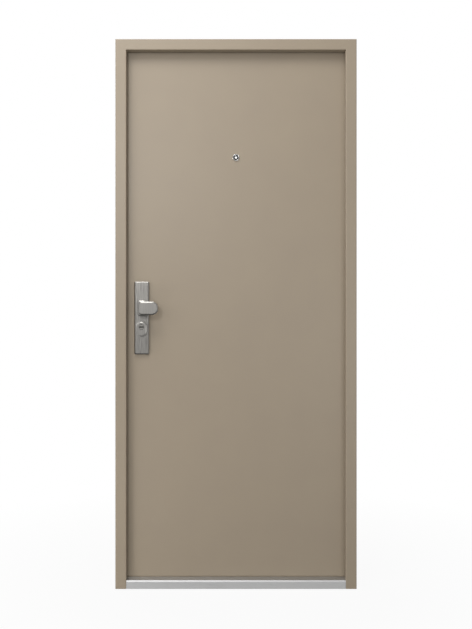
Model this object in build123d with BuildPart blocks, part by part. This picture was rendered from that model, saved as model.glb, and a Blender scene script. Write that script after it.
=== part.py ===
"""Security door: a hollow steel leaf hung on three pin hinges in a folded steel frame.

Millimetres, Z up. The landing is on the -Y side and the room on the +Y side. The origin is the
middle of the sill's underside. The leaf is shut, and it opens into the room about the hinges at +X.
"""
import os
from math import asin, degrees

from build123d import *

os.makedirs("parts", exist_ok=True)

# Frame, folded from sheet and welded at mitred corners
frame_width = 928.0
frame_height = 2114.0
frame_face = 42.0  # width of the jambs and of the head, seen from the landing
frame_sheet = 2.0
frame_bend = 3.0  # outside radius of a fold
stop_depth = 30.0  # from the front of the frame back to the face that the leaf shuts against
stop_cover = 18.0  # how far that face stands out of the rebate

# Sill: a stop bar in front, and a low plate that runs back under the leaf
sill_front = 27.0  # height of the bar's upright front
sill_nose = 5.0  # slope above that front
sill_height = 37.0  # at the back of the bar, so that its top sheds water
sill_depth = 30.0  # of the bar
sill_plate = 6.0
sill_sheet = 3.0

# Leaf, a folded tray closed by a sheet on the room side
leaf_thickness = 65.0
leaf_sheet = 2.0
leaf_bend = 2.5
seal_room = 5.0  # between the stop and the leaf
hinge_gap = 6.0
lock_gap = 9.0  # wider, for the corner of the leaf swings out here as it opens
head_gap = 6.0
sill_gap = 6.0

# Fits
inlay_fit = 0.3  # round a piece let in flush
seal_fit = 0.3  # from a seal to the leaf
pin_fit = 0.08  # round a hinge pin
lens_fit = 0.1  # round the lens of the viewer
plug_fit = 0.3  # round the turning plug
washer_gap = 0.5  # between the halves of a hinge

# Seals
seal_width = 8.0
seal_setback = 1.5  # from the seen edge of the stop
sill_seal_height = 10.0
sill_seal_drop = 3.0  # below the top of the sill

# Lock edge
backset = 65.0  # from the edge of the leaf to the lock furniture
faceplate_width = 24.0
faceplate_overrun = 200.0  # of faceplate beyond the middle of the end bolts
faceplate_thickness = 3.0
bolt_length = 30.0
bolt_recess = 0.5  # how far a drawn bolt sits behind the face of the faceplate
latch_height = 30.0
latch_width = 13.0
latch_bevel = 7.0
deadbolt_height = 34.0
deadbolt_width = 14.0
round_bolt_radius = 8.0
round_bolt_pitch = 44.0
lower_bolts_z = 400.0
upper_bolts_drop = 364.0  # below the top of the frame
strike_width = 28.0
strike_margin = 22.0  # of plate above and below its openings
strike_ease = 3.0  # round a bolt

# Lock furniture
knob_z = 1078.5
cylinder_drop = 72.0  # from the knob down to the lock cylinder
plate_width = 55.5
plate_height = 281.0
plate_above_knob = 103.5
plate_corner = 4.0
outside_plate_thickness = 12.0
outside_plate_slope = 3.5  # of its front edge, as seen
outside_plate_fall = 2.5  # of that slope, from front to back
inside_plate_thickness = 8.0
inside_plate_slope = 2.0
knob_reach = 55.0  # from the plate to the front of the knob
paddle_length = 75.0
paddle_height = 50.5
paddle_thickness = 18.0
paddle_overhang = 6.5  # past the middle of the plate, towards the lock edge
paddle_nose = 22.0
paddle_corner = 13.0
paddle_slope = 4.5
paddle_fall = 3.2
neck_width = 37.0
neck_height = 59.5
neck_corner = 12.0
neck_slope = 4.5
neck_fall = 3.2
neck_overhang = 12.5
guard_width = 43.0
guard_height = 61.5
guard_proud = 9.0
guard_slope = 6.0
guard_fall = 1.7
guard_above_cylinder = 24.0
guard_sink = 1.0  # slope round the hole in the guard
plug_radius = 9.5
plug_recess = 1.0
plug_length = 22.5
key_slot_width = 17.0
key_slot_height = 4.2
key_slot_depth = 16.0
cylinder_radius = 8.5
cylinder_leg_width = 10.0
cylinder_leg_drop = 19.5
cylinder_proud = 3.0
lever_radius = 9.5
lever_reach = 50.0
lever_length = 125.0
lever_bend = 16.0
rose_radius = 16.0
rose_thickness = 6.0

# Door viewer
viewer_z = 1665.0
viewer_flange_radius = 14.0
viewer_flange_edge = 1.2
viewer_crest_radius = 11.8  # where the ring stands highest
viewer_crest_proud = 5.0
viewer_crest_round = 0.8
viewer_inner_proud = 4.0
viewer_inner_rim = 2.4  # slope from the edge of the inner ring to its face
viewer_tube_radius = 8.0
viewer_bore_radius = 6.6
lens_seat_radius = 9.8
lens_seat_proud = 0.8  # of the ledge that the lens lies on
lens_edge = 1.4
lens_dome = 2.4

# Hinges
lower_hinge_z = 260.0
upper_hinge_drop = 274.0  # below the top of the frame
hinge_stand_off = 14.0  # from the room face of the leaf to the pin
knuckle_radius = 9.0
knuckle_length = 60.0
knuckle_chamfer = 1.2
pin_radius = 6.0
pin_engagement = 52.0
hinge_plate_thickness = 4.0
hinge_plate_corner = 6.0
hinge_web = 6.0
leaf_plate_length = 50.0
hinge_plate_clear = 3.0  # from the pin to the nearest edge of a plate

# Dog bolts, fixed in the hinge edge of the leaf
dog_bolt_inset = 417.0  # of the end bolts, from the floor and from the top of the frame
dog_bolt_spread = 260.0  # of the middle bolts, either side of mid height
dog_bolt_radius = 7.0
dog_bolt_reach = 13.0
dog_bolt_root = 24.0
dog_bolt_taper = 3.0
dog_bolt_ease = 3.0  # round the bolt in the jamb

# Wall anchors
anchor_radius = 5.5
anchor_access_radius = 10.0
hinge_anchor_inset = 147.0  # of the end anchors, from the floor and from the top of the frame
hinge_anchor_spread = 410.0  # of the middle anchors, either side of mid height
lock_anchor_inset = 187.0
lock_anchor_spread = 370.0

# Places that follow from the sizes
frame_depth = stop_depth + seal_room + leaf_thickness
front_y = -frame_depth / 2
back_y = frame_depth / 2
stop_y = front_y + stop_depth
leaf_front_y = stop_y + seal_room
wall_x = frame_width / 2
opening_x = wall_x - frame_face
rebate_x = opening_x + stop_cover
opening_top = frame_height - frame_face
rebate_depth = frame_face - stop_cover  # of frame left behind the rebate
lock_edge_x = -(rebate_x - lock_gap)
hinge_edge_x = rebate_x - hinge_gap
leaf_bottom = sill_plate + sill_gap
leaf_top = opening_top + stop_cover - head_gap
leaf_width = hinge_edge_x - lock_edge_x
leaf_height = leaf_top - leaf_bottom
leaf_centre = ((lock_edge_x + hinge_edge_x) / 2, (leaf_bottom + leaf_top) / 2)
edge_y = leaf_front_y + leaf_thickness / 2  # middle of the leaf's thickness
rebate_y = (stop_y + back_y) / 2
furniture_x = lock_edge_x + backset
cylinder_z = knob_z - cylinder_drop
plate_centre = (furniture_x, knob_z + plate_above_knob - plate_height / 2)
guard_centre = (furniture_x, cylinder_z + guard_above_cylinder - guard_height / 2)
mid_z = frame_height / 2
upper_bolts_z = frame_height - upper_bolts_drop
faceplate_z = (lower_bolts_z + upper_bolts_z) / 2
faceplate_length = upper_bolts_z - lower_bolts_z + 2 * faceplate_overrun
strike_ends = {"lower": lower_bolts_z, "upper": upper_bolts_z}
upper_hinge_z = frame_height - upper_hinge_drop
hinge_heights = {
    "lower": lower_hinge_z,
    "middle": (lower_hinge_z + upper_hinge_z) / 2,
    "upper": upper_hinge_z,
}
dog_bolt_heights = (
    dog_bolt_inset,
    mid_z - dog_bolt_spread,
    mid_z + dog_bolt_spread,
    frame_height - dog_bolt_inset,
)
hinge_anchor_heights = (
    hinge_anchor_inset,
    mid_z - hinge_anchor_spread,
    mid_z + hinge_anchor_spread,
    frame_height - hinge_anchor_inset,
)
lock_anchor_heights = (
    lock_anchor_inset,
    mid_z - lock_anchor_spread,
    mid_z + lock_anchor_spread,
    frame_height - lock_anchor_inset,
)
hinge_axis_x = hinge_edge_x + hinge_gap / 2
hinge_axis_y = back_y + hinge_stand_off

landing_face = Plane.XZ.offset(-leaf_front_y)  # looks towards the landing
room_face = Plane.XZ.offset(-back_y)
outside_plate_face = landing_face.offset(outside_plate_thickness)
guard_face = outside_plate_face.offset(guard_proud)
lock_edge = Plane.YZ.offset(lock_edge_x)
hinge_edge = Plane.YZ.offset(hinge_edge_x)
lock_rebate = Plane.YZ.offset(-rebate_x)
hinge_rebate = Plane.YZ.offset(rebate_x)
viewer_plane = Plane(origin=(0, 0, viewer_z), x_dir=(0, 1, 0), z_dir=(1, 0, 0))
viewer_axis = Axis((0, 0, viewer_z), (0, 1, 0))


def save(builder, name):
    """Labels a finished piece and writes it to its own file."""
    builder.part.label = name
    export_step(builder.part, f"parts/{name}.step")


# Section shared by the jambs and the head: X runs in from the wall, Y runs back from the landing
with BuildSketch() as frame_section:
    with BuildLine():
        Polyline(
            (0, front_y),
            (frame_face, front_y),
            (frame_face, stop_y),
            (rebate_depth, stop_y),
            (rebate_depth, back_y),
            (0, back_y),
            close=True,
        )
    make_face()
    fillet(frame_section.vertices(), frame_bend)
    offset(amount=-frame_sheet, mode=Mode.SUBTRACT)

# Section of the lock cylinder
with BuildSketch() as cylinder_section:
    Circle(cylinder_radius)
    with Locations((0, -cylinder_leg_drop / 2)):
        Rectangle(cylinder_leg_width, cylinder_leg_drop)
    with Locations((0, -cylinder_leg_drop)):
        Circle(cylinder_leg_width / 2)

# Hole that the lock cylinder passes through
with BuildSketch() as cylinder_hole:
    add(cylinder_section.sketch)
    offset(amount=inlay_fit, mode=Mode.REPLACE)

# Hinge jamb, with its wall anchors and the holes that take the dog bolts
with BuildPart() as hinge_jamb:
    with BuildSketch(Plane(origin=(wall_x, 0, 0), x_dir=(-1, 0, 0), z_dir=(0, 0, -1))):
        add(frame_section.sketch)
    extrude(amount=-frame_height)
    split(bisect_by=Plane(origin=(wall_x, 0, frame_height), z_dir=(1, 0, -1)), keep=Keep.TOP)
    with BuildSketch(hinge_rebate.offset(-frame_sheet)):
        with Locations(*[(edge_y, z) for z in dog_bolt_heights]):
            Circle(dog_bolt_radius + dog_bolt_ease)
        with Locations(*[(rebate_y, z) for z in hinge_anchor_heights]):
            Circle(anchor_access_radius)
    extrude(amount=3 * frame_sheet, mode=Mode.SUBTRACT)
    with BuildSketch(Plane.YZ.offset(wall_x - 2 * frame_sheet)):
        with Locations(*[(rebate_y, z) for z in hinge_anchor_heights]):
            Circle(anchor_radius)
    extrude(amount=3 * frame_sheet, mode=Mode.SUBTRACT)
save(hinge_jamb, "hinge_jamb")

# Openings of the strike plates, by plate: the middle of the plate and its height
main_strike_z = (knob_z + cylinder_z) / 2
main_strike_height = cylinder_drop + latch_height / 2 + deadbolt_height / 2 + 2 * strike_margin
end_strike_height = round_bolt_pitch + 2 * round_bolt_radius + 2 * strike_margin

# Lock jamb, with its wall anchors and the cut-outs that take the strike plates
with BuildPart() as lock_jamb:
    with BuildSketch(Plane(origin=(-wall_x, 0, 0), x_dir=(1, 0, 0), z_dir=(0, 0, 1))):
        add(frame_section.sketch)
    extrude(amount=frame_height)
    split(bisect_by=Plane(origin=(-wall_x, 0, frame_height), z_dir=(-1, 0, -1)), keep=Keep.TOP)
    with BuildSketch(lock_rebate.offset(frame_sheet)):
        with Locations(*[(edge_y, z) for z in strike_ends.values()]):
            Rectangle(strike_width + 2 * inlay_fit, end_strike_height + 2 * inlay_fit)
        with Locations((edge_y, main_strike_z)):
            Rectangle(strike_width + 2 * inlay_fit, main_strike_height + 2 * inlay_fit)
        with Locations(*[(rebate_y, z) for z in lock_anchor_heights]):
            Circle(anchor_access_radius)
    extrude(amount=-3 * frame_sheet, mode=Mode.SUBTRACT)
    with BuildSketch(Plane.YZ.offset(-wall_x + 2 * frame_sheet)):
        with Locations(*[(rebate_y, z) for z in lock_anchor_heights]):
            Circle(anchor_radius)
    extrude(amount=-3 * frame_sheet, mode=Mode.SUBTRACT)
save(lock_jamb, "lock_jamb")

# Head, mitred into both jambs
with BuildPart() as frame_head:
    with BuildSketch(Plane(origin=(0, 0, frame_height), x_dir=(0, 0, -1), z_dir=(1, 0, 0))):
        add(frame_section.sketch)
    extrude(amount=wall_x, both=True)
    split(bisect_by=Plane(origin=(wall_x, 0, frame_height), z_dir=(-1, 0, 1)), keep=Keep.TOP)
    split(bisect_by=Plane(origin=(-wall_x, 0, frame_height), z_dir=(1, 0, 1)), keep=Keep.TOP)
save(frame_head, "frame_head")

# Sill between the jambs; the low plate is wider, in the rebates behind the stops
with BuildPart() as sill:
    with BuildSketch(Plane.YZ):
        with BuildLine():
            Polyline(
                (front_y, 0),
                (front_y, sill_front),
                (front_y + sill_nose, sill_front + sill_nose),
                (front_y + sill_depth, sill_height),
                (front_y + sill_depth, sill_plate),
                (back_y, sill_plate),
                (back_y, 0),
                close=True,
            )
        make_face()
        with Locations((front_y + sill_depth / 2, sill_front / 2)):
            Rectangle(sill_depth - 2 * sill_sheet, sill_front - 2 * sill_sheet, mode=Mode.SUBTRACT)
    extrude(amount=opening_x, both=True)
    with BuildSketch(Plane.XY) as rebate_part:
        with Locations((0, rebate_y)):
            Rectangle(2 * rebate_x, back_y - stop_y)
        fillet(rebate_part.vertices().group_by(Axis.Y)[0], frame_bend + inlay_fit)
    extrude(amount=sill_plate)
save(sill, "sill")

# Seals on the stops and on the back of the sill's stop bar
seal_thickness = seal_room - seal_fit
seal_middle = seal_setback + seal_width / 2
side_seal_top = opening_top + seal_setback + seal_width
side_seal_height = side_seal_top - sill_plate
seal_round = seal_thickness * 0.6
for side, name in ((-1, "lock_side_seal"), (1, "hinge_side_seal")):
    with BuildPart() as side_seal:
        with BuildSketch(Plane.XY.offset(sill_plate)):
            with Locations((side * (opening_x + seal_middle), stop_y + seal_thickness / 2)):
                Rectangle(seal_width, seal_thickness)
        extrude(amount=side_seal_height)
        bulb = side_seal.faces().sort_by(Axis.Y)[-1].edges().filter_by(Axis.Z)
        fillet(bulb, seal_round)
    save(side_seal, name)
with BuildPart() as head_seal:
    with BuildSketch(Plane.YZ):
        with Locations((stop_y + seal_thickness / 2, opening_top + seal_middle)):
            Rectangle(seal_thickness, seal_width)
    extrude(amount=opening_x + seal_setback, both=True)
    bulb = head_seal.faces().sort_by(Axis.Y)[-1].edges().filter_by(Axis.X)
    fillet(bulb, seal_round)
save(head_seal, "head_seal")
sill_seal_depth = leaf_front_y - front_y - sill_depth - seal_fit
with BuildPart() as sill_seal:
    with BuildSketch(Plane.YZ):
        with Locations((front_y + sill_depth, sill_height - sill_seal_drop)):
            Rectangle(sill_seal_depth, sill_seal_height, align=(Align.MIN, Align.MAX))
    extrude(amount=opening_x, both=True)
    bulb = sill_seal.faces().sort_by(Axis.Y)[-1].edges().filter_by(Axis.X)
    fillet(bulb, seal_round)
save(sill_seal, "sill_seal")

# Strike plates, let in flush with the rebate of the lock jamb
for end, middle in strike_ends.items():
    with BuildPart() as end_strike:
        with BuildSketch(lock_rebate):
            with Locations((edge_y, middle)):
                Rectangle(strike_width, end_strike_height)
            with Locations((edge_y, middle - round_bolt_pitch / 2), (edge_y, middle + round_bolt_pitch / 2)):
                Circle(round_bolt_radius + strike_ease, mode=Mode.SUBTRACT)
        extrude(amount=-frame_sheet)
    save(end_strike, f"{end}_strike_plate")
with BuildPart() as main_strike:
    with BuildSketch(lock_rebate):
        with Locations((edge_y, main_strike_z)):
            Rectangle(strike_width, main_strike_height)
        with Locations((edge_y, knob_z)):
            Rectangle(latch_width + strike_ease, latch_height + strike_ease, mode=Mode.SUBTRACT)
        with Locations((edge_y, cylinder_z)):
            Rectangle(deadbolt_width + strike_ease, deadbolt_height + strike_ease, mode=Mode.SUBTRACT)
    extrude(amount=-frame_sheet)
save(main_strike, "main_strike_plate")

# Leaf tray: the landing face and the four edges of the leaf
with BuildPart() as leaf_tray:
    with BuildSketch(landing_face):
        with Locations(leaf_centre):
            Rectangle(leaf_width, leaf_height)
    extrude(amount=-(leaf_thickness - leaf_sheet))
    fillet(leaf_tray.faces().sort_by(Axis.Y)[0].edges(), leaf_bend)
    with BuildSketch(landing_face.offset(-leaf_sheet)):
        with Locations(leaf_centre):
            Rectangle(leaf_width - 2 * leaf_sheet, leaf_height - 2 * leaf_sheet)
    extrude(amount=-leaf_thickness, mode=Mode.SUBTRACT)
    with BuildSketch(landing_face):
        with Locations((furniture_x, cylinder_z)):
            Circle(plug_radius + plug_fit)
        with Locations((0, viewer_z)):
            Circle(viewer_tube_radius + inlay_fit)
    extrude(amount=-2 * leaf_sheet, mode=Mode.SUBTRACT)
    with BuildSketch(lock_edge):
        with Locations((edge_y, faceplate_z)):
            SlotOverall(faceplate_length + 2 * inlay_fit, faceplate_width + 2 * inlay_fit, rotation=90)
    extrude(amount=2 * leaf_sheet, mode=Mode.SUBTRACT)
    with BuildSketch(hinge_edge):
        with Locations(*[(edge_y, z) for z in dog_bolt_heights]):
            Circle(dog_bolt_radius + inlay_fit)
    extrude(amount=-2 * leaf_sheet, mode=Mode.SUBTRACT)
save(leaf_tray, "leaf_tray")

# Sheet that closes the leaf on the room side
with BuildPart() as leaf_inner_sheet:
    with BuildSketch(room_face):
        with Locations(leaf_centre):
            Rectangle(leaf_width, leaf_height)
        with Locations((furniture_x, cylinder_z)):
            add(cylinder_hole.sketch, mode=Mode.SUBTRACT)
        with Locations((0, viewer_z)):
            Circle(viewer_tube_radius + inlay_fit, mode=Mode.SUBTRACT)
    extrude(amount=leaf_sheet)
save(leaf_inner_sheet, "leaf_inner_sheet")

# Faceplate of the lock, flush in the lock edge
with BuildPart() as faceplate:
    with BuildSketch(lock_edge):
        with Locations((edge_y, faceplate_z)):
            SlotOverall(faceplate_length, faceplate_width, rotation=90)
        with Locations((edge_y, knob_z)):
            Rectangle(latch_width + 2 * inlay_fit, latch_height + 2 * inlay_fit, mode=Mode.SUBTRACT)
        with Locations((edge_y, cylinder_z)):
            Rectangle(deadbolt_width + 2 * inlay_fit, deadbolt_height + 2 * inlay_fit, mode=Mode.SUBTRACT)
        for middle in strike_ends.values():
            with Locations((edge_y, middle - round_bolt_pitch / 2), (edge_y, middle + round_bolt_pitch / 2)):
                Circle(round_bolt_radius + inlay_fit, mode=Mode.SUBTRACT)
    extrude(amount=faceplate_thickness)
save(faceplate, "lock_faceplate")

# Bolts of the lock, drawn back into the leaf
drawn_bolts = lock_edge.offset(bolt_recess)
with BuildPart() as latch:
    with BuildSketch(drawn_bolts):
        with Locations((edge_y, knob_z)):
            Rectangle(latch_width, latch_height)
    extrude(amount=bolt_length)
    tip = latch.faces().sort_by(Axis.X)[0]
    chamfer(tip.edges().filter_by(Axis.Z).sort_by(Axis.Y)[0], latch_bevel)
save(latch, "latch")
with BuildPart() as deadbolt:
    with BuildSketch(drawn_bolts):
        with Locations((edge_y, cylinder_z)):
            Rectangle(deadbolt_width, deadbolt_height)
    extrude(amount=bolt_length)
save(deadbolt, "deadbolt")
for end, middle in strike_ends.items():
    with BuildPart() as round_bolts:
        with BuildSketch(drawn_bolts):
            with Locations((edge_y, middle - round_bolt_pitch / 2), (edge_y, middle + round_bolt_pitch / 2)):
                Circle(round_bolt_radius)
        extrude(amount=bolt_length)
    save(round_bolts, f"{end}_round_bolts")

# Dog bolts with sloping tips
with BuildPart() as dog_bolts:
    with BuildSketch(hinge_edge.offset(-dog_bolt_root)):
        with Locations(*[(edge_y, z) for z in dog_bolt_heights]):
            Circle(dog_bolt_radius)
    extrude(amount=dog_bolt_root + dog_bolt_reach)
    tips = dog_bolts.faces().filter_by(Plane.YZ).group_by(Axis.X)[-1]
    chamfer(tips.edges(), dog_bolt_taper)
save(dog_bolts, "dog_bolts")

# Outside plate with sloping edges
with BuildPart() as outside_plate:
    with BuildSketch(landing_face):
        with Locations(plate_centre):
            RectangleRounded(plate_width, plate_height, plate_corner)
    extrude(amount=outside_plate_thickness)
    front = outside_plate.faces().sort_by(Axis.Y)[0]
    chamfer(front.edges(), outside_plate_slope, outside_plate_fall, reference=front)
    with BuildSketch(landing_face):
        with Locations((furniture_x, cylinder_z)):
            Circle(plug_radius + plug_fit)
    extrude(amount=outside_plate_thickness, mode=Mode.SUBTRACT)
save(outside_plate, "outside_plate")

# Pull knob: a paddle on a neck that stands off the plate
neck_reach = knob_reach - paddle_thickness + neck_fall
with BuildPart() as pull_knob:
    with BuildSketch(outside_plate_face):
        with Locations((furniture_x - neck_overhang + neck_width / 2, knob_z)):
            RectangleRounded(neck_width, neck_height, neck_corner)
    extrude(amount=neck_reach)
    front = pull_knob.faces().sort_by(Axis.Y)[0]
    chamfer(front.edges(), neck_slope, neck_fall, reference=front)
    with BuildSketch(outside_plate_face.offset(knob_reach - paddle_thickness)) as paddle:
        with Locations((furniture_x - paddle_overhang + paddle_length / 2, knob_z)):
            Rectangle(paddle_length, paddle_height)
        fillet(paddle.vertices().group_by(Axis.X)[0], paddle_corner)
        fillet(paddle.vertices().group_by(Axis.X)[-1], paddle_nose)
    extrude(amount=paddle_thickness)
    front = pull_knob.faces().sort_by(Axis.Y)[0]
    chamfer(front.edges(), paddle_slope, paddle_fall, reference=front)
save(pull_knob, "pull_knob")

# Guard round the lock cylinder
with BuildPart() as cylinder_guard:
    with BuildSketch(outside_plate_face):
        with Locations(guard_centre):
            SlotOverall(guard_height, guard_width, rotation=90)
    extrude(amount=guard_proud)
    front = cylinder_guard.faces().sort_by(Axis.Y)[0]
    chamfer(front.edges(), guard_slope, guard_fall, reference=front)
    with BuildSketch(outside_plate_face):
        with Locations((furniture_x, cylinder_z)):
            Circle(plug_radius + plug_fit)
    extrude(amount=guard_proud, mode=Mode.SUBTRACT)
    hole_rim = cylinder_guard.edges().filter_by(GeomType.CIRCLE).group_by(Axis.Y)[0]
    chamfer(hole_rim, guard_sink)
save(cylinder_guard, "cylinder_guard")

# Turning plug with its key slot
with BuildPart() as key_plug:
    with BuildSketch(guard_face.offset(-plug_recess)):
        with Locations((furniture_x, cylinder_z)):
            Circle(plug_radius)
    extrude(amount=-plug_length)
    with BuildSketch(guard_face.offset(-plug_recess)):
        with Locations((furniture_x, cylinder_z)):
            Rectangle(key_slot_width, key_slot_height)
    extrude(amount=-key_slot_depth, mode=Mode.SUBTRACT)
save(key_plug, "key_plug")

# Lock cylinder, from behind the plug through to the room side
cylinder_start = guard_face.offset(-plug_recess - plug_length - plug_fit)
cylinder_front_y = leaf_front_y - outside_plate_thickness - guard_proud + plug_recess + plug_length + plug_fit
cylinder_length = back_y + inside_plate_thickness + cylinder_proud - cylinder_front_y
with BuildPart() as lock_cylinder:
    with BuildSketch(cylinder_start):
        with Locations((furniture_x, cylinder_z)):
            add(cylinder_section.sketch)
    extrude(amount=-cylinder_length)
    with BuildSketch(room_face.offset(-inside_plate_thickness - cylinder_proud)):
        with Locations((furniture_x, cylinder_z)):
            Rectangle(key_slot_height, cylinder_radius)
    extrude(amount=key_slot_depth, mode=Mode.SUBTRACT)
save(lock_cylinder, "lock_cylinder")

# Inside plate
with BuildPart() as inside_plate:
    with BuildSketch(room_face):
        with Locations(plate_centre):
            RectangleRounded(plate_width, plate_height, plate_corner)
    extrude(amount=-inside_plate_thickness)
    chamfer(inside_plate.faces().sort_by(Axis.Y)[-1].edges(), inside_plate_slope)
    with BuildSketch(room_face):
        with Locations((furniture_x, cylinder_z)):
            add(cylinder_hole.sketch)
    extrude(amount=-inside_plate_thickness, mode=Mode.SUBTRACT)
save(inside_plate, "inside_plate")

# Inside lever on its rose, pointing away from the lock edge
rose_face_y = back_y + inside_plate_thickness
with BuildPart() as inside_lever:
    with BuildSketch(room_face.offset(-inside_plate_thickness)):
        with Locations((furniture_x, knob_z)):
            Circle(rose_radius)
    extrude(amount=-rose_thickness)
    with BuildLine() as lever_path:
        FilletPolyline(
            (furniture_x, rose_face_y, knob_z),
            (furniture_x, rose_face_y + lever_reach, knob_z),
            (furniture_x + lever_length, rose_face_y + lever_reach, knob_z),
            radius=lever_bend,
        )
    with BuildSketch(Plane(origin=(furniture_x, rose_face_y, knob_z), z_dir=(0, 1, 0))):
        Circle(lever_radius)
    sweep(path=lever_path.wire())
    fillet(inside_lever.faces().sort_by(Axis.X)[-1].edges(), lever_radius / 3)
save(inside_lever, "inside_lever")

# Door viewer: ring and tube on the landing side, with a ledge for the lens
lens_rim_y = leaf_front_y - lens_seat_proud - lens_edge
with BuildPart() as viewer_outer:
    with BuildSketch(viewer_plane) as viewer_section:
        with BuildLine():
            Polyline(
                (leaf_front_y, viewer_tube_radius),
                (leaf_front_y, viewer_flange_radius),
                (leaf_front_y - viewer_flange_edge, viewer_flange_radius),
                (leaf_front_y - viewer_crest_proud, viewer_crest_radius),
                (lens_rim_y, lens_seat_radius),
                (leaf_front_y - lens_seat_proud, lens_seat_radius),
                (leaf_front_y - lens_seat_proud, viewer_bore_radius),
                (back_y - leaf_sheet, viewer_bore_radius),
                (back_y - leaf_sheet, viewer_tube_radius),
                close=True,
            )
        make_face()
        fillet(viewer_section.vertices().sort_by(Axis.X)[0], viewer_crest_round)
    revolve(axis=viewer_axis)
save(viewer_outer, "viewer_outer")

# Lens of the viewer, domed towards the landing
lens_radius = lens_seat_radius - lens_fit
dome_radius = (lens_radius**2 + lens_dome**2) / (2 * lens_dome)
dome_angle = degrees(asin(lens_radius / dome_radius))
with BuildPart() as viewer_lens:
    with BuildSketch(viewer_plane):
        with BuildLine():
            dome = CenterArc((lens_rim_y - lens_dome + dome_radius, 0), dome_radius, 180 - dome_angle, dome_angle)
            Polyline(
                dome @ 1,
                (lens_rim_y + lens_edge, 0),
                (lens_rim_y + lens_edge, lens_radius),
                dome @ 0,
            )
        make_face()
    revolve(axis=viewer_axis)
save(viewer_lens, "viewer_lens")

# Ring of the viewer on the room side, screwed into the tube
inner_tube_radius = viewer_bore_radius - pin_fit
with BuildPart() as viewer_inner:
    with BuildSketch(viewer_plane):
        with BuildLine():
            Polyline(
                (back_y, inner_tube_radius),
                (back_y, viewer_flange_radius),
                (back_y + viewer_inner_proud - viewer_inner_rim, viewer_flange_radius),
                (back_y + viewer_inner_proud, viewer_flange_radius - viewer_inner_rim),
                (back_y + viewer_inner_proud, viewer_bore_radius / 2),
                (back_y - leaf_thickness / 3, viewer_bore_radius / 2),
                (back_y - leaf_thickness / 3, inner_tube_radius),
                close=True,
            )
        make_face()
    revolve(axis=viewer_axis)
save(viewer_inner, "viewer_inner")

# Hinges: the lower knuckle and its pin on the frame, the upper knuckle on the leaf
frame_plate_length = wall_x - frame_bend - hinge_axis_x - hinge_plate_clear
for place, middle in hinge_heights.items():
    with BuildPart() as frame_half:
        with BuildSketch(Plane.XY.offset(middle - knuckle_length)):
            with Locations((hinge_axis_x + hinge_plate_clear, back_y)):
                Rectangle(frame_plate_length, hinge_plate_thickness, align=(Align.MIN, Align.MIN))
        extrude(amount=knuckle_length - washer_gap)
        fillet(frame_half.edges().filter_by(Axis.Y).group_by(Axis.X)[-1], hinge_plate_corner)
        with BuildSketch(Plane.XY.offset(middle - knuckle_length)):
            with Locations((hinge_axis_x, hinge_axis_y)):
                Circle(knuckle_radius)
        extrude(amount=knuckle_length - washer_gap)
        chamfer(frame_half.edges().filter_by(GeomType.CIRCLE).filter_by(Plane.XY), knuckle_chamfer)
        with BuildSketch(Plane.XY.offset(middle - knuckle_length + knuckle_chamfer)):
            with Locations((hinge_axis_x + hinge_plate_clear, back_y)):
                Rectangle(hinge_web, hinge_stand_off, align=(Align.MIN, Align.MIN))
        extrude(amount=knuckle_length - washer_gap - 2 * knuckle_chamfer)
        with BuildSketch(Plane.XY.offset(middle - washer_gap)):
            with Locations((hinge_axis_x, hinge_axis_y)):
                Circle(pin_radius)
        extrude(amount=pin_engagement)
    save(frame_half, f"{place}_hinge_frame_half")
    with BuildPart() as leaf_half:
        with BuildSketch(Plane.XY.offset(middle)):
            with Locations((hinge_axis_x - hinge_plate_clear, back_y)):
                Rectangle(leaf_plate_length, hinge_plate_thickness, align=(Align.MAX, Align.MIN))
        extrude(amount=knuckle_length)
        fillet(leaf_half.edges().filter_by(Axis.Y).group_by(Axis.X)[0], hinge_plate_corner)
        with BuildSketch(Plane.XY.offset(middle)):
            with Locations((hinge_axis_x, hinge_axis_y)):
                Circle(knuckle_radius)
        extrude(amount=knuckle_length)
        chamfer(leaf_half.edges().filter_by(GeomType.CIRCLE).filter_by(Plane.XY), knuckle_chamfer)
        with BuildSketch(Plane.XY.offset(middle + knuckle_chamfer)):
            with Locations((hinge_axis_x - hinge_plate_clear, back_y)):
                Rectangle(hinge_web, hinge_stand_off, align=(Align.MAX, Align.MIN))
        extrude(amount=knuckle_length - 2 * knuckle_chamfer)
        with BuildSketch(Plane.XY.offset(middle)):
            with Locations((hinge_axis_x, hinge_axis_y)):
                Circle(pin_radius + pin_fit)
        extrude(amount=pin_engagement + washer_gap, mode=Mode.SUBTRACT)
    save(leaf_half, f"{place}_hinge_leaf_half")
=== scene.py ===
import math
import bmesh
import bpy
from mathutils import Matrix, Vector


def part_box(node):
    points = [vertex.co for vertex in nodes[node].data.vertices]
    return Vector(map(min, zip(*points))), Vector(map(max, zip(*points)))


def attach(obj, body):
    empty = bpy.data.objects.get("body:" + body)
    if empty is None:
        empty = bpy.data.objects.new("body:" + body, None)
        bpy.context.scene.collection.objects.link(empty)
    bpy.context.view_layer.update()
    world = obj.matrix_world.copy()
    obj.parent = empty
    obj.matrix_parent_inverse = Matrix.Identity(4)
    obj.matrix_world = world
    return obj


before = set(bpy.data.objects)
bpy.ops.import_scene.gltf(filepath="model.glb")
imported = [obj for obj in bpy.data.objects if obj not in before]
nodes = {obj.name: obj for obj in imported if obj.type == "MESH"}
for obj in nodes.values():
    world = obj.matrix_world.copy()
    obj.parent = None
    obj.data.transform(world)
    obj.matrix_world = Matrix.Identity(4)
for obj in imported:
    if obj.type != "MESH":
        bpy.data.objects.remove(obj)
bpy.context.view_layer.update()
scene = bpy.context.scene
mm = 0.001
print("frame loaded:", len(nodes), "nodes")


def hexColour(code):
    channels = [int(code[i:i + 2], 16) / 255 for i in (1, 3, 5)]
    linear = [c / 12.92 if c <= 0.04045 else ((c + 0.055) / 1.055) ** 2.4 for c in channels]
    return (*linear, 1.0)


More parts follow.
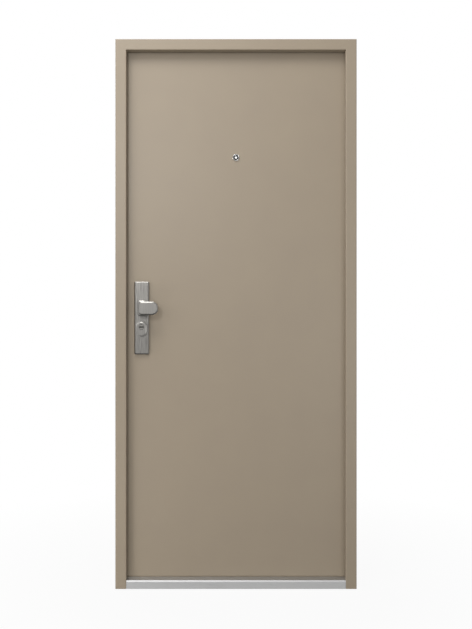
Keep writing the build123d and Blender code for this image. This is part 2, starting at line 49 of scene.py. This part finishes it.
# Sockets go by name, or by number where a node has several of one name
def addNode(tree, kind, settings=None, values=None, links=None):
    node = tree.nodes.new(kind)
    for name, value in (settings or {}).items():
        setattr(node, name, value)
    for name, value in (values or {}).items():
        node.inputs[name].default_value = value
    for name, source in (links or {}).items():
        tree.links.new(source, node.inputs[name])
    return node


def newMaterial(name):
    material = bpy.data.materials.new(name)
    material.use_nodes = True
    tree = material.node_tree
    tree.nodes.clear()
    place = addNode(tree, "ShaderNodeTexCoord").outputs["Object"]
    return material, tree, place


def endMaterial(tree, shader):
    addNode(tree, "ShaderNodeOutputMaterial", links={"Surface": shader.outputs["BSDF"]})


# Polyester powder coat on steel, sprayed and baked: an even satin skin with a fine orange peel
coat = {
    "light": "#968976", "dark": "#918473", "cloudMm": 140.0,
    "peelMm": 2.6, "peelDepthMm": 0.2, "peelStrength": 0.05,
    "roughness": (0.40, 0.47), "ior": 1.5,
}


def powderCoat(name):
    material, tree, place = newMaterial(name)
    cloud = addNode(tree, "ShaderNodeTexNoise", values={"Scale": 1 / (coat["cloudMm"] * mm), "Detail": 2.0},
                    links={"Vector": place})
    peel = addNode(tree, "ShaderNodeTexNoise", values={"Scale": 1 / (coat["peelMm"] * mm), "Detail": 1.0},
                   links={"Vector": place})
    tint = addNode(tree, "ShaderNodeMix", {"data_type": "RGBA"},
                   {"A": hexColour(coat["dark"]), "B": hexColour(coat["light"])},
                   {"Factor": cloud.outputs["Fac"]})
    sheen = addNode(tree, "ShaderNodeMapRange",
                    values={"To Min": coat["roughness"][0], "To Max": coat["roughness"][1]},
                    links={"Value": peel.outputs["Fac"]})
    bump = addNode(tree, "ShaderNodeBump",
                   values={"Strength": coat["peelStrength"], "Distance": coat["peelDepthMm"] * mm},
                   links={"Height": peel.outputs["Fac"]})
    shader = addNode(tree, "ShaderNodeBsdfPrincipled", values={"IOR": coat["ior"]},
                     links={"Base Color": tint.outputs["Result"], "Roughness": sheen.outputs["Result"],
                            "Normal": bump.outputs["Normal"]})
    endMaterial(tree, shader)
    return material


# Stainless steel ground with a belt: fine scratches all one way, drawn coarser than life so that they show,
# and painted shade on the underside: the colour darkens where the surface faces down
brushed = {
    "plate": {"light": "#8a8884", "dark": "#5f5d5a", "roughness": (0.26, 0.36)},
    "knob": {"light": "#807e7a", "dark": "#757370", "roughness": (0.28, 0.32)},
    "hinges": {"light": "#a4a3a0", "dark": "#8e8c89", "roughness": (0.26, 0.36)},
    "grainMm": 1.8, "grainDepthMm": 0.1, "grainStrength": 0.12, "stretch": 30.0, "contrast": (0.3, 0.7),
    "underside": "#2e2d2b", "undersideFrom": (-0.15, -0.75),  # upward part of the normal
}


def brushedSteel(name, tone, along):
    material, tree, place = newMaterial(name)
    look = brushed[tone]
    scale = [1.0, 1.0, 1.0]
    scale["XYZ".index(along)] = 1 / brushed["stretch"]
    drawn = addNode(tree, "ShaderNodeMapping", values={"Scale": scale}, links={"Vector": place})
    grain = addNode(tree, "ShaderNodeTexNoise",
                    values={"Scale": 1 / (brushed["grainMm"] * mm), "Detail": 3.0},
                    links={"Vector": drawn.outputs["Vector"]})
    streak = addNode(tree, "ShaderNodeMapRange",
                     values={"From Min": brushed["contrast"][0], "From Max": brushed["contrast"][1]},
                     links={"Value": grain.outputs["Fac"]})
    tint = addNode(tree, "ShaderNodeMix", {"data_type": "RGBA"},
                   {"A": hexColour(look["dark"]), "B": hexColour(look["light"])},
                   {"Factor": streak.outputs["Result"]})
    # Painted shade: darker where the normal points down, under the knob and the plates
    facing = addNode(tree, "ShaderNodeNewGeometry").outputs["Normal"]
    upward = addNode(tree, "ShaderNodeSeparateXYZ", links={"Vector": facing})
    paintedShadeMask = addNode(tree, "ShaderNodeMapRange",
                     values={"From Min": brushed["undersideFrom"][0],
                             "From Max": brushed["undersideFrom"][1]},
                     links={"Value": upward.outputs["Z"]})
    withPaintedShade = addNode(tree, "ShaderNodeMix", {"data_type": "RGBA"}, {"B": hexColour(brushed["underside"])},
                     {"Factor": paintedShadeMask.outputs["Result"], "A": tint.outputs["Result"]})
    dull = addNode(tree, "ShaderNodeMapRange",
                   values={"To Min": look["roughness"][0], "To Max": look["roughness"][1]},
                   links={"Value": grain.outputs["Fac"]})
    bump = addNode(tree, "ShaderNodeBump",
                   values={"Strength": brushed["grainStrength"], "Distance": brushed["grainDepthMm"] * mm},
                   links={"Height": grain.outputs["Fac"]})
    shader = addNode(tree, "ShaderNodeBsdfPrincipled", values={"Metallic": 1.0},
                     links={"Base Color": withPaintedShade.outputs["Result"], "Roughness": dull.outputs["Result"],
                            "Normal": bump.outputs["Normal"]})
    endMaterial(tree, shader)
    return material


# Aluminium extrusion, anodised: pale and silky with faint drawn lines, and rubbed bare where feet pass
anodised = {
    "light": "#b6b6b6", "dark": "#acacac", "lineMm": 1.2, "stretch": 80.0,
    "roughness": (0.42, 0.5), "metallic": 0.35,
    "tread": "#b9b9b9", "treadRoughness": 0.42, "noseMm": 5.0, "edgeMm": 0.6,
}


def anodisedAluminium(name, front):
    material, tree, place = newMaterial(name)
    drawn = addNode(tree, "ShaderNodeMapping", values={"Scale": [1 / anodised["stretch"], 1.0, 1.0]},
                    links={"Vector": place})
    line = addNode(tree, "ShaderNodeTexNoise",
                   values={"Scale": 1 / (anodised["lineMm"] * mm), "Detail": 2.0},
                   links={"Vector": drawn.outputs["Vector"]})
    axes = addNode(tree, "ShaderNodeSeparateXYZ", links={"Vector": place})
    treadFrom = front + anodised["noseMm"] * mm
    tread = addNode(tree, "ShaderNodeMapRange",
                    values={"From Min": treadFrom, "From Max": treadFrom + anodised["edgeMm"] * mm},
                    links={"Value": axes.outputs["Y"]})
    lines = addNode(tree, "ShaderNodeMix", {"data_type": "RGBA"},
                    {"A": hexColour(anodised["dark"]), "B": hexColour(anodised["light"])},
                    {"Factor": line.outputs["Fac"]})
    tint = addNode(tree, "ShaderNodeMix", {"data_type": "RGBA"}, {"B": hexColour(anodised["tread"])},
                   {"Factor": tread.outputs["Result"], "A": lines.outputs["Result"]})
    silk = addNode(tree, "ShaderNodeMapRange",
                   values={"To Min": anodised["roughness"][0], "To Max": anodised["roughness"][1]},
                   links={"Value": line.outputs["Fac"]})
    rubbed = addNode(tree, "ShaderNodeMix", {"data_type": "FLOAT"}, {"B": anodised["treadRoughness"]},
                     {"Factor": tread.outputs["Result"], "A": silk.outputs["Result"]})
    bare = addNode(tree, "ShaderNodeMapRange", values={"To Min": anodised["metallic"], "To Max": 1.0},
                   links={"Value": tread.outputs["Result"]})
    shader = addNode(tree, "ShaderNodeBsdfPrincipled",
                     links={"Base Color": tint.outputs["Result"], "Roughness": rubbed.outputs["Result"],
                            "Metallic": bare.outputs["Result"]})
    endMaterial(tree, shader)
    return material


# Satin nickel plate on brass: warm, soft metal, with painted shade, near black, inside the key slot
nickel = {
    "plate": "#74726e", "roughness": 0.33, "speckMm": 0.8, "speckDepthMm": 0.05, "speckStrength": 0.08,
    "slot": "#060605", "slotShadeFromMm": 0.05, "slotShadeToMm": 0.3,
}


# Painted shade: the slot darkens to near black and loses its metal sheen with its depth behind slotFront, and
# a piece without a slot gives none
def satinNickel(name, slotFront=None):
    material, tree, place = newMaterial(name)
    speck = addNode(tree, "ShaderNodeTexNoise", values={"Scale": 1 / (nickel["speckMm"] * mm), "Detail": 2.0},
                    links={"Vector": place})
    bump = addNode(tree, "ShaderNodeBump",
                   values={"Strength": nickel["speckStrength"], "Distance": nickel["speckDepthMm"] * mm},
                   links={"Height": speck.outputs["Fac"]})
    shader = addNode(tree, "ShaderNodeBsdfPrincipled",
                     values={"Base Color": hexColour(nickel["plate"]), "Metallic": 1.0,
                             "Roughness": nickel["roughness"], "Specular IOR Level": 0.0},
                     links={"Normal": bump.outputs["Normal"]})
    if slotFront is not None:
        axes = addNode(tree, "ShaderNodeSeparateXYZ", links={"Vector": place})
        depth = addNode(tree, "ShaderNodeMapRange",
                        values={"From Min": slotFront + nickel["slotShadeFromMm"] * mm,
                                "From Max": slotFront + nickel["slotShadeToMm"] * mm},
                        links={"Value": axes.outputs["Y"]})
        tint = addNode(tree, "ShaderNodeMix", {"data_type": "RGBA"},
                       {"A": hexColour(nickel["plate"]), "B": hexColour(nickel["slot"])},
                       {"Factor": depth.outputs["Result"]})
        bare = addNode(tree, "ShaderNodeMath", {"operation": "SUBTRACT", "use_clamp": True}, {0: 1.0},
                       {1: depth.outputs["Result"]})
        tree.links.new(tint.outputs["Result"], shader.inputs["Base Color"])
        tree.links.new(bare.outputs["Value"], shader.inputs["Metallic"])
    endMaterial(tree, shader)
    return material


# Moulded rubber seal: near black, matt, with a trace of bloom
rubber = {"clean": "#1c1b1a", "bloom": "#2b2927", "patchMm": 18.0, "roughness": 0.75, "ior": 1.52}


def sealRubber(name):
    material, tree, place = newMaterial(name)
    patch = addNode(tree, "ShaderNodeTexNoise",
                    values={"Scale": 1 / (rubber["patchMm"] * mm), "Detail": 4.0},
                    links={"Vector": place})
    tint = addNode(tree, "ShaderNodeMix", {"data_type": "RGBA"},
                   {"A": hexColour(rubber["clean"]), "B": hexColour(rubber["bloom"])},
                   {"Factor": patch.outputs["Fac"]})
    shader = addNode(tree, "ShaderNodeBsdfPrincipled",
                     values={"Roughness": rubber["roughness"], "IOR": rubber["ior"]},
                     links={"Base Color": tint.outputs["Result"]})
    endMaterial(tree, shader)
    return material


# Chromed brass, polished: clear reflections, with painted shade, near black, under the lens and inside the
# tube
chrome = {
    "plate": "#c4c4c3", "tube": "#0c0c0c", "roughness": 0.08,
    "paintedShadeOutside": 9.7 * mm, "paintedShadeInside": 3.4 * mm, "paintedShadeEdge": 0.1 * mm,
}


def polishedChrome(name, centre, paintedShadeRadius):
    material, tree, place = newMaterial(name)
    moved = addNode(tree, "ShaderNodeMapping",
                    values={"Location": [-centre.x, 0.0, -centre.z], "Scale": [1.0, 0.0, 1.0]},
                    links={"Vector": place})
    away = addNode(tree, "ShaderNodeVectorMath", {"operation": "LENGTH"},
                   links={"Vector": moved.outputs["Vector"]})
    # Painted shade: near black inside the given radius, where the tube lies in shade
    inside = addNode(tree, "ShaderNodeMapRange",
                     values={"From Min": paintedShadeRadius, "From Max": paintedShadeRadius + chrome["paintedShadeEdge"],
                             "To Min": 1.0, "To Max": 0.0},
                     links={"Value": away.outputs["Value"]})
    tint = addNode(tree, "ShaderNodeMix", {"data_type": "RGBA"},
                   {"A": hexColour(chrome["plate"]), "B": hexColour(chrome["tube"])},
                   {"Factor": inside.outputs["Result"]})
    shader = addNode(tree, "ShaderNodeBsdfPrincipled",
                     values={"Metallic": 1.0, "Roughness": chrome["roughness"]},
                     links={"Base Color": tint.outputs["Result"]})
    endMaterial(tree, shader)
    return material


# Optical glass, ground and polished: clear, with a dark ring where it bends the light away
glass = {"tint": "#f3f3f2", "roughness": 0.02, "ior": 1.52}


def lensGlass(name):
    material, tree = newMaterial(name)[:2]
    shader = addNode(tree, "ShaderNodeBsdfPrincipled",
                     values={"Base Color": hexColour(glass["tint"]), "Roughness": glass["roughness"],
                             "IOR": glass["ior"], "Transmission Weight": 1.0})
    endMaterial(tree, shader)
    return material


viewerCentre = (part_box("viewer_outer")[0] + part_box("viewer_outer")[1]) / 2
coatSteel = powderCoat("powderCoatedSteel")
steelPlate = brushedSteel("brushedStainlessPlate", "plate", "Z")
steelKnob = brushedSteel("satinStainlessKnob", "knob", "Z")
steelLever = brushedSteel("satinStainlessLever", "knob", "X")
steelHinge = brushedSteel("satinStainlessHinge", "hinges", "Z")
aluminiumSill = anodisedAluminium("anodisedAluminium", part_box("sill")[0].y)
nickelPlug = satinNickel("satinNickelPlug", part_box("key_plug")[0].y)
nickelBarrel = satinNickel("satinNickelBarrel")
rubberSeal = sealRubber("mouldedRubber")
chromeOutside = polishedChrome("polishedChromeOutside", viewerCentre, chrome["paintedShadeOutside"])
chromeInside = polishedChrome("polishedChromeInside", viewerCentre, chrome["paintedShadeInside"])
glassLens = lensGlass("opticalGlass")
finishes = {
    "hinge_jamb": coatSteel, "lock_jamb": coatSteel, "frame_head": coatSteel,
    "leaf_tray": coatSteel, "leaf_inner_sheet": coatSteel, "sill": aluminiumSill,
    "pull_knob": steelKnob, "cylinder_guard": steelKnob, "inside_lever": steelLever,
    "key_plug": nickelPlug, "lock_cylinder": nickelBarrel,
    "hinge_side_seal": rubberSeal, "lock_side_seal": rubberSeal,
    "head_seal": rubberSeal, "sill_seal": rubberSeal,
    "viewer_outer": chromeOutside, "viewer_inner": chromeInside, "viewer_lens": glassLens,
}
for nodeName, nodeObject in nodes.items():
    finish = finishes.get(nodeName, steelHinge if "hinge" in nodeName else steelPlate)
    for materialSlot in nodeObject.material_slots:
        materialSlot.material = finish
print("finishes given to", len(nodes), "nodes")

# Button screws with hexagon sockets, on the plates that are screwed down
screws = {
    "sizes": {
        "Head Radius": 4.2 * mm, "Head Height": 1.5 * mm,
        "Edge Height": 0.6 * mm, "Socket Radius": 2.3 * mm,
    },
    "rimSides": 28, "socketSides": 6, "crownScale": 0.78, "weld": 0.01 * mm,
    "small": 0.85, "spinSeed": 7,
    "hingePlate": 4.0 * mm, "hingeEnd": 12.0 * mm,  # thickness of the hinge plates, screws from their ends
    "leafHalfIn": 11.0 * mm, "leafHalfRow": 22.0 * mm, "frameHalfIn": 8.0 * mm, "halvesApart": 0.5 * mm,
    "plateEnd": 14.0 * mm, "strikeEnd": 9.0 * mm,
    "faceplate": (0.225, 0.30, 0.52, 0.80, 0.94, 1.15, 1.35, 1.62, 1.85, 1.925),  # heights
}


def screwTree():
    tree = bpy.data.node_groups.new("buttonScrews", "GeometryNodeTree")
    tree.interface.new_socket("Geometry", in_out="INPUT", socket_type="NodeSocketGeometry")
    for label in screws["sizes"]:
        tree.interface.new_socket(label, in_out="INPUT", socket_type="NodeSocketFloat")
    tree.interface.new_socket("Steel", in_out="INPUT", socket_type="NodeSocketMaterial")
    tree.interface.new_socket("Geometry", in_out="OUTPUT", socket_type="NodeSocketGeometry")
    given = addNode(tree, "NodeGroupInput").outputs
    # The head is a ring round the socket, raised to its edge and then drawn in to its crown
    rim = addNode(tree, "GeometryNodeCurvePrimitiveCircle", values={"Resolution": screws["rimSides"]},
                  links={"Radius": given["Head Radius"]})
    socket = addNode(tree, "GeometryNodeCurvePrimitiveCircle", values={"Resolution": screws["socketSides"]},
                     links={"Radius": given["Socket Radius"]})
    outline = addNode(tree, "GeometryNodeJoinGeometry")
    for curve in (rim, socket):
        tree.links.new(curve.outputs["Curve"], outline.inputs["Geometry"])
    ring = addNode(tree, "GeometryNodeFillCurve", links={"Curve": outline.outputs["Geometry"]})
    wall = addNode(tree, "GeometryNodeExtrudeMesh", values={"Individual": False},
                   links={"Mesh": ring.outputs["Mesh"], "Offset Scale": given["Edge Height"]})
    crown = addNode(tree, "GeometryNodeExtrudeMesh", values={"Individual": False},
                    links={"Mesh": wall.outputs["Mesh"], "Selection": wall.outputs["Top"],
                           "Offset Scale": given["Head Height"]})
    sloped = addNode(tree, "GeometryNodeScaleElements", values={"Scale": screws["crownScale"]},
                     links={"Geometry": crown.outputs["Mesh"], "Selection": crown.outputs["Top"]})
    seat = addNode(tree, "GeometryNodeFlipFaces", links={"Mesh": ring.outputs["Mesh"]})
    socketFloor = addNode(tree, "GeometryNodeMeshCircle", {"fill_type": "NGON"},
                          {"Vertices": screws["socketSides"]}, {"Radius": given["Socket Radius"]})
    lift = addNode(tree, "ShaderNodeCombineXYZ", links={"Z": given["Edge Height"]})
    lifted = addNode(tree, "GeometryNodeTransform",
                     links={"Geometry": socketFloor.outputs["Mesh"], "Translation": lift.outputs["Vector"]})
    head = addNode(tree, "GeometryNodeJoinGeometry")
    for part in (sloped.outputs["Geometry"], seat.outputs["Mesh"], lifted.outputs["Geometry"]):
        tree.links.new(part, head.inputs["Geometry"])
    welded = addNode(tree, "GeometryNodeMergeByDistance", values={"Distance": screws["weld"]},
                     links={"Geometry": head.outputs["Geometry"]})
    # Each screw faces out of its plate and stops at an angle of its own
    facing = addNode(tree, "GeometryNodeInputNamedAttribute", {"data_type": "FLOAT_VECTOR"},
                     {"Name": "facing"})
    turned = addNode(tree, "FunctionNodeAlignRotationToVector", links={"Vector": facing.outputs["Attribute"]})
    angle = addNode(tree, "FunctionNodeRandomValue", {"data_type": "FLOAT"},
                    {"Max": math.pi, "Seed": screws["spinSeed"]})
    spin = addNode(tree, "FunctionNodeAxisAngleToRotation", links={"Angle": angle.outputs["Value"]})
    rotation = addNode(tree, "FunctionNodeRotateRotation", {"rotation_space": "LOCAL"},
                       links={"Rotation": turned.outputs["Rotation"], "Rotate By": spin.outputs["Rotation"]})
    share = addNode(tree, "GeometryNodeInputNamedAttribute", {"data_type": "FLOAT"}, {"Name": "share"})
    placed = addNode(tree, "GeometryNodeInstanceOnPoints",
                     links={"Points": given["Geometry"], "Instance": welded.outputs["Geometry"],
                            "Rotation": rotation.outputs["Rotation"], "Scale": share.outputs["Attribute"]})
    real = addNode(tree, "GeometryNodeRealizeInstances", links={"Geometry": placed.outputs["Instances"]})
    finished = addNode(tree, "GeometryNodeSetMaterial",
                       links={"Geometry": real.outputs["Geometry"], "Material": given["Steel"]})
    addNode(tree, "NodeGroupOutput", links={"Geometry": finished.outputs["Geometry"]})
    return tree


# Each spot holds a place, the way the screw faces and its share of the full size
def driveScrews(name, body, tree, spots):
    mesh = bpy.data.meshes.new(name)
    mesh.from_pydata([spot[0] for spot in spots], [], [])
    mesh.attributes.new("facing", "FLOAT_VECTOR", "POINT")
    mesh.attributes.new("share", "FLOAT", "POINT")
    mesh.attributes["facing"].data.foreach_set("vector", [value for spot in spots for value in spot[1]])
    mesh.attributes["share"].data.foreach_set("value", [spot[2] for spot in spots])
    piece = bpy.data.objects.new(name, mesh)
    scene.collection.objects.link(piece)
    modifier = piece.modifiers.new("screws", "NODES")
    modifier.node_group = tree
    for item in tree.interface.items_tree:
        if item.in_out == "INPUT" and item.name in screws["sizes"]:
            modifier[item.identifier] = screws["sizes"][item.name]
        if item.in_out == "INPUT" and item.name == "Steel":
            modifier[item.identifier] = steelHinge
    solid = bpy.data.meshes.new_from_object(piece.evaluated_get(bpy.context.evaluated_depsgraph_get()))
    piece.modifiers.remove(modifier)
    piece.data = solid
    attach(piece, body)


toRoom = (0.0, 1.0, 0.0)
toHinge = (1.0, 0.0, 0.0)
toLock = (-1.0, 0.0, 0.0)
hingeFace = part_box("leaf_inner_sheet")[1].y + screws["hingePlate"]
leafSpots = []
frameSpots = []
for place in ("lower", "middle", "upper"):
    low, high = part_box(place + "_hinge_leaf_half")
    firstRow = low.x + screws["leafHalfIn"]
    for x in (firstRow, firstRow + screws["leafHalfRow"]):
        for z in (low.z + screws["hingeEnd"], high.z - screws["hingeEnd"]):
            leafSpots.append(((x, hingeFace, z), toRoom, 1.0))
    frameHalfTop = low.z - screws["halvesApart"]
    low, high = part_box(place + "_hinge_frame_half")
    for z in (low.z + screws["hingeEnd"], frameHalfTop - screws["hingeEnd"]):
        frameSpots.append(((high.x - screws["frameHalfIn"], hingeFace, z), toRoom, 1.0))
low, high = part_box("lock_faceplate")
for z in screws["faceplate"]:
    leafSpots.append(((low.x, (low.y + high.y) / 2, z), toLock, screws["small"]))
low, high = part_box("inside_plate")
for z in (low.z + screws["plateEnd"], high.z - screws["plateEnd"]):
    leafSpots.append((((low.x + high.x) / 2, high.y, z), toRoom, 1.0))
for place in ("lower", "main", "upper"):
    low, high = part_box(place + "_strike_plate")
    for z in (low.z + screws["strikeEnd"], high.z - screws["strikeEnd"]):
        frameSpots.append(((high.x, (low.y + high.y) / 2, z), toHinge, screws["small"]))
buttonScrews = screwTree()
driveScrews("leafScrews", "leaf", buttonScrews, leafSpots)
driveScrews("frameScrews", "frame", buttonScrews, frameSpots)
print("screws driven:", len(leafSpots) + len(frameSpots))

# Optics in the viewer's tube: a small opal lens that glows with painted light, its holder, near black with
# painted shade, and an eyepiece on the room side
optics = {
    "lensRadius": 3.3 * mm, "lensDome": 0.8 * mm, "lensThick": 2.5 * mm, "lensBehind": 0.4 * mm,
    "holderRadius": 6.55 * mm,
    "eyeRadius": 3.25 * mm, "eyeDome": 0.8 * mm, "eyeThick": 2.2 * mm, "eyeSunk": 0.2 * mm,
    "rings": 5, "around": 32,
    "milk": "#f4f5f4", "clear": "#ffffff", "hazeMm": 3.0, "opalRoughness": 0.2, "paintedGlow": 1.0,
}


# Opal glass, pressed: milky with a faint haze, and it glows with painted light, standing in for light from
# the room behind it
def opalGlass(name):
    material, tree, place = newMaterial(name)
    haze = addNode(tree, "ShaderNodeTexNoise", values={"Scale": 1 / (optics["hazeMm"] * mm), "Detail": 1.0},
                   links={"Vector": place})
    milk = addNode(tree, "ShaderNodeMix", {"data_type": "RGBA"},
                   {"A": hexColour(optics["milk"]), "B": hexColour(optics["clear"])},
                   {"Factor": haze.outputs["Fac"]})
    shader = addNode(tree, "ShaderNodeBsdfPrincipled",
                     values={"Roughness": optics["opalRoughness"], "Emission Strength": optics["paintedGlow"]},
                     links={"Base Color": milk.outputs["Result"], "Emission Color": milk.outputs["Result"]})
    endMaterial(tree, shader)
    return material


def domeProfile(radius, dome, front, back):
    turns = [math.pi / 2 * i / optics["rings"] for i in range(optics["rings"] + 1)]
    rise = math.copysign(dome, back - front)
    curve = [(radius * math.sin(turn), front + rise * (1 - math.cos(turn))) for turn in turns]
    return curve + [(radius, back), (0.0, back)]


# Turns a profile of (radius, depth) points about the viewer's axis; a ring's profile closes on itself
def turnPiece(name, profile, material, ring=False):
    turned = bmesh.new()
    around = optics["around"]
    hoops = []
    for reach, y in profile:
        hoop = []
        for k in range(around if reach else 1):
            angle = 2 * math.pi * k / around
            x = viewerCentre.x + reach * math.cos(angle)
            z = viewerCentre.z + reach * math.sin(angle)
            hoop.append(turned.verts.new((x, y, z)))
        hoops.append(hoop)
    for first, second in zip(hoops, hoops[1:] + (hoops[:1] if ring else [])):
        for k in range(around):
            corners = (first[k % len(first)], second[k % len(second)],
                       second[(k + 1) % len(second)], first[(k + 1) % len(first)])
            turned.faces.new(list(dict.fromkeys(corners)))  # a tip repeats its one point
    bmesh.ops.recalc_face_normals(turned, faces=turned.faces)
    mesh = bpy.data.meshes.new(name)
    turned.to_mesh(mesh)
    turned.free()
    mesh.materials.append(material)
    piece = bpy.data.objects.new(name, mesh)
    scene.collection.objects.link(piece)
    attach(piece, "leaf")


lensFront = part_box("viewer_lens")[1].y + optics["lensBehind"]
lensRim = lensFront + optics["lensDome"]
lensBack = lensFront + optics["lensThick"]
lensProfile = domeProfile(optics["lensRadius"], optics["lensDome"], lensFront, lensBack)
turnPiece("viewerInnerLens", lensProfile, opalGlass("pressedOpalGlass"))
holderProfile = [(optics["lensRadius"], lensRim), (optics["holderRadius"], lensRim),
                 (optics["holderRadius"], lensBack), (optics["lensRadius"], lensBack)]
turnPiece("viewerLensHolder", holderProfile, chromeOutside, ring=True)
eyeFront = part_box("viewer_inner")[1].y - optics["eyeSunk"]
eyeProfile = domeProfile(optics["eyeRadius"], optics["eyeDome"], eyeFront, eyeFront - optics["eyeThick"])
turnPiece("viewerEyepiece", eyeProfile, glassLens)
print("viewer optics set in")

# Camera square on to the middle of the door, its distance taken from the face of the frame
shot = {"distance": 2.93, "height": 1.0548, "lens": 43.64, "sensor": 36.0}
cameraData = bpy.data.cameras.new("camera")
cameraData.lens = shot["lens"]
cameraData.sensor_width = shot["sensor"]
camera = bpy.data.objects.new("camera", cameraData)
camera.location = (0.0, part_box("frame_head")[0].y - shot["distance"], shot["height"])
camera.rotation_euler = (math.pi / 2, 0.0, 0.0)
scene.collection.objects.link(camera)
scene.camera = camera

# Soft boxes: on the landing most light comes from the left and from overhead, and one lights the room side
softBoxes = {
    "keyLight": {"place": (-0.95, -3.5, 2.2), "aim": (0.0, 0.0, 1.2), "size": 0.4, "power": 21.0},
    "sideLight": {"place": (-3.0, -2.4, 2.2), "aim": (0.0, 0.0, 1.2), "size": 2.4, "power": 29.0},
    "topLight": {"place": (-0.9, -1.7, 3.9), "aim": (0.0, 0.0, 1.0), "size": 1.4, "power": 53.0},
    "overheadLight": {"place": (-0.6, -1.1, 4.2), "aim": (-0.1, -0.2, 1.0), "size": 1.4, "power": 14.0},
    "frontLight": {"place": (-0.8, -4.6, 2.0), "aim": (0.0, 0.0, 1.1), "size": 1.6, "power": 7.0},
    "fillLight": {"place": (1.3, -2.6, 0.8), "aim": (0.2, 0.0, 0.7), "size": 0.8, "power": 8.0},
    "footLight": {"place": (-1.1, -0.9, 0.18), "aim": (-0.3, 0.0, 0.05), "size": 0.4, "power": 3.0},
    "roomLight": {"place": (-2.5, 3.1, 2.6), "aim": (0.0, 0.0, 1.1), "size": 2.4, "power": 85.0},
}
for lightName, box in softBoxes.items():
    lightData = bpy.data.lights.new(lightName, "AREA")
    lightData.size = box["size"]
    lightData.energy = box["power"]
    light = bpy.data.objects.new(lightName, lightData)
    light.location = box["place"]
    light.rotation_euler = (Vector(box["aim"]) - Vector(box["place"])).to_track_quat("-Z", "Y").to_euler()
    scene.collection.objects.link(light)
print("camera and", len(softBoxes), "lights placed")


# 1 for what the eye sees straight, mirrored in metal or through glass, and 0 for light on the pieces
def seenRays(tree):
    rays = addNode(tree, "ShaderNodeLightPath").outputs
    mirrored = addNode(tree, "ShaderNodeMath", {"operation": "MAXIMUM"},
                       links={0: rays["Is Camera Ray"], 1: rays["Is Glossy Ray"]})
    seen = addNode(tree, "ShaderNodeMath", {"operation": "MAXIMUM"},
                   links={0: mirrored.outputs["Value"], 1: rays["Is Transmission Ray"]})
    return seen.outputs["Value"]


# White surroundings for the eye and for reflections, softer light on the paint
room = {"light": 0.36}
world = bpy.data.worlds.new("world")
world.use_nodes = True
scene.world = world
worldTree = world.node_tree
worldTree.nodes.clear()
level = addNode(worldTree, "ShaderNodeMapRange", values={"To Min": room["light"], "To Max": 1.0},
                links={"Value": seenRays(worldTree)})
backdrop = addNode(worldTree, "ShaderNodeBackground", values={"Color": (1.0, 1.0, 1.0, 1.0)},
                   links={"Strength": level.outputs["Result"]})
addNode(worldTree, "ShaderNodeOutputWorld", links={"Surface": backdrop.outputs["Background"]})

# Pale floor: white to the eye, but it keeps the shadow close to the door
floorLook = {"colour": "#a4a4a2", "half": 6.0, "whiteNear": 0.94, "whiteFar": 1.0, "fade": (0.55, 1.7)}
half = floorLook["half"]
floorCorners = [(-half, -half, 0.0), (half, -half, 0.0), (half, half, 0.0), (-half, half, 0.0)]
floorMesh = bpy.data.meshes.new("floor")
floorMesh.from_pydata(floorCorners, [], [(0, 1, 2, 3)])
floor = bpy.data.objects.new("floor", floorMesh)
scene.collection.objects.link(floor)
floorPaint, floorTree, floorPlace = newMaterial("paleFloor")
diffuse = addNode(floorTree, "ShaderNodeBsdfDiffuse", values={"Color": hexColour(floorLook["colour"])})
white = addNode(floorTree, "ShaderNodeEmission", values={"Strength": 1.0})
away = addNode(floorTree, "ShaderNodeVectorMath", {"operation": "LENGTH"}, links={"Vector": floorPlace})
fade = addNode(floorTree, "ShaderNodeMapRange",
               values={"From Min": floorLook["fade"][0], "From Max": floorLook["fade"][1],
                       "To Min": floorLook["whiteNear"], "To Max": floorLook["whiteFar"]},
               links={"Value": away.outputs["Value"]})
share = addNode(floorTree, "ShaderNodeMath", {"operation": "MULTIPLY"},
                links={0: seenRays(floorTree), 1: fade.outputs["Result"]})
floorMix = addNode(floorTree, "ShaderNodeMixShader",
                   links={"Fac": share.outputs["Value"],
                          1: diffuse.outputs["BSDF"], 2: white.outputs["Emission"]})
addNode(floorTree, "ShaderNodeOutputMaterial", links={"Surface": floorMix.outputs["Shader"]})
floorMesh.materials.append(floorPaint)
print("surroundings and floor made")

scene.view_settings.view_transform = "Standard"
